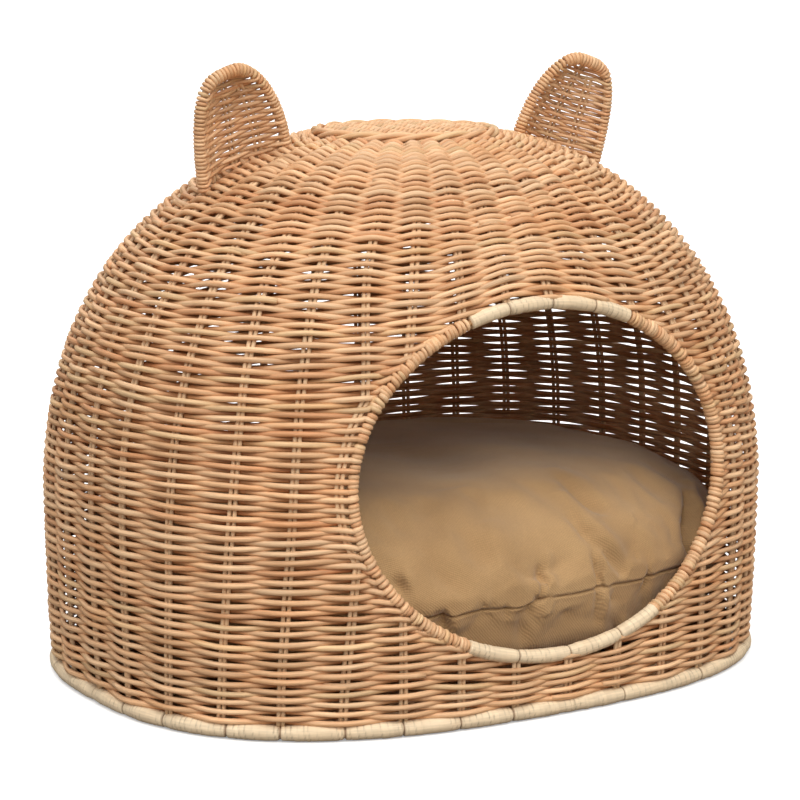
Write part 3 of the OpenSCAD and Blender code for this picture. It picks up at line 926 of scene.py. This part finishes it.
# rods of the CAD model that stay as they are, with a material each
for name, look, slot in (
    ("base_hoop", hoop_look, "hoop_wood"),
    ("door_hoop", hoop_look, "hoop_wood"),
    ("floor_sticks", stick_look, "rattan_stake"),
    ("crown_sticks", stick_look, "rattan_stake"),
):
    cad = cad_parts[name]
    cad.data.materials.clear()
    cad.data.materials.append(look)

# -------- cushion
CUSHION_A, CUSHION_B = 230.0, 176.0  # half width and half depth of its CAD cover
COVER_GAP = 0.6  # least distance inside the CAD cover
SEAM_Z = 74.0
SEAM_WIDTH, SEAM_DEPTH = 1.0, 1.8
CLOTH_STEPS, CLOTH_REACH = 20, 0.0055  # frames, and the farthest that cloth may swell, in metres
TUCKS = [(-126, 0.8), (-76, 0.7), (88, 0.8), (-30, 0.5)]  # x along the front seam, and strength
CREASE_GAIN = 1.8
# creases: points along each, its width and its depth, which CREASE_GAIN scales; a helper script
# cast the points from the photo onto the cushion, in whole millimetres
CREASES = [
    ([(50, -120, 140), (55, -139, 135), (62, -152, 129)], 5.5, 2.6),
    ([(36, -156, 127), (41, -168, 116), (50, -173, 102), (63, -173, 85)], 5.0, 3.4),
    ([(42, -173, 101), (44, -174, 90), (45, -175, 77)], 2.8, 3.8),
    ([(0, -175, 93), (-2, -176, 84), (-3, -176, 75)], 3.0, 3.4),
    ([(-13, -176, 86), (-6, -176, 73)], 2.6, 1.8),
    ([(155, -128, 124), (147, -145, 112), (136, -157, 95), (137, -156, 78)], 5.0, 5.5),
    ([(-47, -152, 129), (-44, -171, 109)], 10.0, 2.2),
    ([(-107, -165, 100), (-103, -167, 90)], 3.5, 2.4),
    ([(-78, -171, 71), (-73, -172, 55)], 4.5, 1.8),
    ([(44, -175, 73), (46, -174, 51)], 3.0, 2.2),
    ([(-17, -176, 62), (-12, -175, 44)], 6.0, 1.8),
    ([(63, -172, 46), (73, -163, 27)], 4.0, 1.8),
    ([(109, -165, 55), (103, -166, 40)], 4.0, 1.8),
    ([(4, 27, 146), (-11, -73, 145)], 26.0, 2.2),
    ([(-120, 40, 144), (-40, 100, 143)], 12.0, 2.4),
    ([(60, 95, 143), (130, 70, 142)], 11.0, 2.4),
]


def threads(tree, place, direction, scale, distortion):
    bands = node(tree, "ShaderNodeTexWave", wave_type="BANDS", bands_direction=direction)
    for key, value in (("Scale", scale), ("Distortion", distortion), ("Detail", 1.0)):
        bands.inputs[key].default_value = value
    tree.links.new(place, bands.inputs["Vector"])
    return bands.outputs["Fac"]


def cushion_material():
    """Khaki cotton twill: fine diagonal ribs, crossing threads, soft fading, and a dark seam."""
    material, tree, shader = new_material("cushion_twill", 0.88, 0.2)
    shader.inputs["Sheen Weight"].default_value = 0.25
    shader.inputs["Sheen Roughness"].default_value = 0.5
    place = node(tree, "ShaderNodeTexCoord").outputs["Object"]
    twill = threads(tree, place, "DIAGONAL", 330.0, 0.6)
    cross = threads(tree, place, "X", 260.0, 0.8)
    weave = node(tree, "ShaderNodeMath", operation="MULTIPLY_ADD")
    tree.links.new(cross, weave.inputs[0])
    weave.inputs[1].default_value = 0.4
    tree.links.new(twill, weave.inputs[2])
    slub = noise(tree, place, (1, 1, 1), 900, 2)
    fade = noise(tree, place, (1, 1, 1), 14, 3)
    base = node(tree, "ShaderNodeMix", data_type="RGBA")
    base.inputs["A"].default_value = (*linear(160, 125, 84), 1)
    base.inputs["B"].default_value = (*linear(184, 148, 104), 1)
    tree.links.new(remap(tree, fade, 0.3, 0.7, 0, 1), base.inputs["Factor"])
    colour = times(tree, base.outputs["Result"], remap(tree, weave.outputs["Value"], 0, 1.4, 0.84, 1.1))
    colour = times(tree, colour, remap(tree, slub, 0.3, 0.7, 0.93, 1.05))
    seam = node(tree, "ShaderNodeAttribute", attribute_name="seam").outputs["Fac"]
    colour = blend_to(tree, colour, (0.35, 0.28, 0.2), seam)
    tree.links.new(colour, shader.inputs["Base Color"])
    bump(tree, shader, weave.outputs["Value"], 0.35, 0.0004)
    return material


def vertex_values(mesh, what):
    values = np.empty(len(mesh.vertices) * 3, np.float32)
    mesh.vertices.foreach_get(what, values)
    return values.reshape(-1, 3).astype(float)


def coordinates(mesh):
    return vertex_values(mesh, "co")


def apply_modifiers(piece):
    graph = bpy.context.evaluated_depsgraph_get()
    mesh = bpy.data.meshes.new_from_object(piece.evaluated_get(graph))
    piece.modifiers.clear()
    piece.data = mesh


def set_coordinates(mesh, co):
    mesh.vertices.foreach_set("co", co.astype(np.float32).ravel())


def make_cushion():
    """The CAD filling, remeshed, blown up as cloth, and then shaped in detail."""
    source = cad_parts["cushion_filling"]
    piece = bpy.data.objects.new("cushion", source.data.copy())
    bpy.context.scene.collection.objects.link(piece)
    middle = np.array([0, 0, SEAM_Z * MM])
    slim = np.array([0.985, 0.985, 0.97])
    set_coordinates(piece.data, (coordinates(piece.data) - middle) * slim + middle)
    remesh = piece.modifiers.new("remesh", "REMESH")
    remesh.mode, remesh.voxel_size = "VOXEL", 0.005
    apply_modifiers(piece)
    relax = piece.modifiers.new("relax", "SMOOTH")
    relax.factor, relax.iterations = 0.5, 6
    apply_modifiers(piece)
    rest = coordinates(piece.data)
    cloth = piece.modifiers.new("cloth", "CLOTH")
    settings = cloth.settings
    settings.quality = 5
    settings.mass = 0.35
    settings.tension_stiffness = settings.compression_stiffness = 12
    settings.bending_stiffness = 0.6
    settings.use_pressure = True
    settings.uniform_pressure_force = 3.5
    settings.effector_weights.gravity = 0
    cloth.point_cache.frame_start, cloth.point_cache.frame_end = 1, CLOTH_STEPS
    for step in range(1, CLOTH_STEPS + 1):
        bpy.context.scene.frame_set(step)
    apply_modifiers(piece)
    bpy.context.scene.frame_set(1)
    move = coordinates(piece.data) - rest
    size = np.linalg.norm(move, axis=1, keepdims=True)
    set_coordinates(piece.data, rest + move * np.minimum(1, CLOTH_REACH / np.maximum(size, 1e-9)))
    finer = piece.modifiers.new("finer", "SUBSURF")
    finer.levels = finer.render_levels = 1
    apply_modifiers(piece)
    shape_cushion(piece)
    return piece


def seam_rim(x, y):
    return ease((np.hypot(x / CUSHION_A, y / CUSHION_B) - 0.86) / 0.1)


def seam_height(x, y):
    """Height of the seam, which rises to the right on the front."""
    turn = np.arctan2(y, x)
    front = np.interp(x, [-180, -93, -12, 0, 43, 90, 135, 180], [73, 71.2, 71.6, 74.2, 75.2, 76.2, 78, 77])
    return np.where(y < -100, front, SEAM_Z + 2 * np.sin(turn * 3 + 0.4)) + 0.5 * np.sin(turn * 23)


def refine_seam(mesh):
    """Smaller faces along the seam, so that it can be a narrow groove."""
    shape = bmesh.new()
    shape.from_mesh(mesh)
    co = np.array([v.co[:] for v in shape.verts]) / MM
    near = (np.abs(co[:, 2] - seam_height(co[:, 0], co[:, 1])) < 8) & (seam_rim(co[:, 0], co[:, 1]) > 0.4)
    edges = [e for e in shape.edges if near[e.verts[0].index] and near[e.verts[1].index]]
    bmesh.ops.subdivide_edges(shape, edges=edges, cuts=2, use_grid_fill=True)
    bmesh.ops.triangulate(shape, faces=[f for f in shape.faces if len(f.verts) > 4])
    shape.to_mesh(mesh)
    shape.free()


def shape_cushion(piece):
    """Seam, tucks and creases, pressed into the finished form, which stays inside the CAD cover."""
    mesh = piece.data
    co = coordinates(mesh) / MM
    low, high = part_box("cushion_bottom_cover")[0] / MM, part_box("cushion_top_cover")[1] / MM
    co[:, :2] *= np.array([high.x - COVER_GAP, high.y - COVER_GAP]) / np.abs(co[:, :2]).max(0)
    above = co[:, 2] > SEAM_Z
    room = high.z - COVER_GAP - SEAM_Z
    co[above, 2] = SEAM_Z + (co[above, 2] - SEAM_Z) * room / (co[:, 2].max() - SEAM_Z)
    set_coordinates(mesh, co * MM)
    refine_seam(mesh)
    co = coordinates(mesh) / MM
    normals = vertex_values(mesh, "normal")
    x, y, z = co.T
    turn = np.degrees(np.arctan2(y, x))
    rim = seam_rim(x, y)
    away = z - seam_height(x, y)
    push = -SEAM_DEPTH * np.exp(-((away / SEAM_WIDTH) ** 2)) * rim
    swell = 1.3 * np.exp(-(((away - 7) / 6) ** 2))
    dip = -0.6 * np.exp(-(((away + 4) / 4) ** 2))
    push += np.where(away > 0, swell, dip) * rim
    tucks = [(math.degrees(math.atan2(-172, tx)), s) for tx, s in TUCKS]
    tucks += [(a, rng.uniform(0.5, 1.1)) for a in np.r_[-18:150:13.0, 162:222:12.0] + rng.uniform(-4, 4, 18)]
    around = np.hypot(x, y)
    for a, strength in tucks:
        gap = np.radians((turn - a + 180) % 360 - 180) * around
        gap = gap + 0.12 * np.abs(away) * (1 if strength > 0.9 else -1)
        fade = np.exp(-np.abs(away) / (17 if strength > 1 else 11))
        fold = -3.0 * np.exp(-((gap / 2.6) ** 2)) + 1.5 * np.exp(-(((gap - 6) / 4.5) ** 2))
        push += rim * strength * fade * fold
    for line, width, depth in CREASES:
        line = smooth(np.array(line, float), 12)
        near = np.abs(co - line.mean(0)).max(1) < np.ptp(line, axis=0).max() / 2 + 4 * width
        p = co[near]
        i = np.linalg.norm(p[:, None] - line[None], axis=2).argmin(1)
        run = unit(np.gradient(line, axis=0))[i]
        lying = p - line[i]
        lying -= np.sum(lying * normals[near], axis=1, keepdims=True) * normals[near]
        side = np.sum(np.cross(run, lying) * normals[near], axis=1)
        gap = np.linalg.norm(lying, axis=1)
        s_on = i / (len(line) - 1)
        strength = np.sin(np.pi * np.clip(0.12 + 0.88 * s_on * 0.85, 0, 1)) ** 0.7
        ridge = 0.6 * np.exp(-(((side - 1.9 * width) / (1.3 * width)) ** 2)) * (gap < 5 * width)
        fold = -np.exp(-((gap / width) ** 2)) + ridge
        push[near] += CREASE_GAIN * depth * strength * fold
    push += 0.5 * np.sin(x / 17 + 1) * np.sin(y / 21) + 0.35 * np.sin((x + y) / 11)
    co = co + normals * push[:, None]
    co[:, 2] = np.maximum(co[:, 2], low.z + 0.4)
    a, b = CUSHION_A - 1, CUSHION_B - 1
    over = (np.abs(co[:, 0] / a) ** PLAN_N + np.abs(co[:, 1] / b) ** PLAN_N) ** (1 / PLAN_N)
    co[:, :2] /= np.maximum(1, over)[:, None]
    set_coordinates(mesh, co * MM)
    seam = mesh.attributes.new("seam", "FLOAT", "POINT")
    seam.data.foreach_set("value", (np.exp(-((away / 0.9) ** 2)) * rim * 0.6).astype(np.float32))
    mesh.polygons.foreach_set("use_smooth", np.ones(len(mesh.polygons), bool))
    mesh.update()


cushion = make_cushion()
cushion.data.materials.clear()
cushion.data.materials.append(cushion_material())
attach(cushion, "cushion")
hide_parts("cushion_top_cover", "cushion_bottom_cover", "cushion_filling")

# -------- stage, light and camera
# The floor and the backdrop look pale, and light the object as a darker floor would.
FLOOR_SIZE = 40.0  # radius in metres
material, tree, shader = new_material("pale_floor", 0.9, 0.1)
seen = node(tree, "ShaderNodeLightPath").outputs["Is Camera Ray"]
pale = node(tree, "ShaderNodeMix", data_type="RGBA")
pale.inputs["A"].default_value = (0.2, 0.18, 0.16, 1)
pale.inputs["B"].default_value = (0.93, 0.93, 0.93, 1)
tree.links.new(seen, pale.inputs["Factor"])
tree.links.new(pale.outputs["Result"], shader.inputs["Base Color"])
shader.inputs["Emission Color"].default_value = (1, 1, 1, 1)
tree.links.new(remap(tree, seen, 0, 1, 0, 0.3), shader.inputs["Emission Strength"])
mesh = bpy.data.meshes.new("floor")
turns = np.linspace(0, 2 * math.pi, 65)[:-1]
ring = [(FLOOR_SIZE * math.cos(a), FLOOR_SIZE * math.sin(a), -0.0004) for a in turns]
mesh.from_pydata(ring, [], [list(range(len(ring)))])
mesh.materials.append(material)
ground = bpy.data.objects.new("studio_floor", mesh)
bpy.context.scene.collection.objects.link(ground)

world = bpy.data.worlds.new("studio")
bpy.context.scene.world = world
world.use_nodes = True
tree = world.node_tree
backdrop = tree.nodes["Background"]
backdrop.inputs["Color"].default_value = (1, 1, 1, 1)
split = node(tree, "ShaderNodeSeparateXYZ")
tree.links.new(node(tree, "ShaderNodeTexCoord").outputs["Generated"], split.inputs["Vector"])
glow = node(tree, "ShaderNodeMix")
tree.links.new(node(tree, "ShaderNodeLightPath").outputs["Is Camera Ray"], glow.inputs["Factor"])
tree.links.new(remap(tree, split.outputs["Z"], 0.15, 1, 0.05, 0.95), glow.inputs["A"])
glow.inputs["B"].default_value = 1.0
tree.links.new(glow.outputs["Result"], backdrop.inputs["Strength"])


def towards(azimuth, elevation):
    """Direction from the object. Azimuth 0 is the front, and 90 is the right."""
    a, e = math.radians(azimuth), math.radians(elevation)
    return Vector((math.sin(a) * math.cos(e), -math.cos(a) * math.cos(e), math.sin(e)))


def sun(name, azimuth, elevation, strength, spread, colour=(1, 1, 1)):
    lamp = bpy.data.lights.new(name, "SUN")
    lamp.energy, lamp.angle, lamp.color = strength, math.radians(spread), colour
    made = bpy.data.objects.new(name, lamp)
    made.rotation_mode = "QUATERNION"
    made.rotation_quaternion = towards(azimuth, elevation).to_track_quat("Z", "Y")
    bpy.context.scene.collection.objects.link(made)


sun("key", -14, 54, 1.5, 58)
sun("fill", -62, 24, 1.0, 60)
sun("front", 12, 24, 0.8, 60, (1, 0.95, 0.88))
sun("rear", 172, 50, 0.75, 50)

CAMERA_AT = (-0.9896, -1.6010, 0.5113)
back = towards(-31.62, 10.01)
lens = bpy.data.cameras.new("camera")
lens.sensor_width, lens.lens = 36.0, 123.4
lens.clip_start, lens.clip_end = 0.05, 100.0
camera = bpy.data.objects.new("camera", lens)
camera.location = CAMERA_AT
camera.rotation_mode = "QUATERNION"
camera.rotation_quaternion = (-back).to_track_quat("-Z", "Y")
bpy.context.scene.collection.objects.link(camera)
bpy.context.scene.camera = camera
bpy.context.scene.view_settings.view_transform = "Standard"
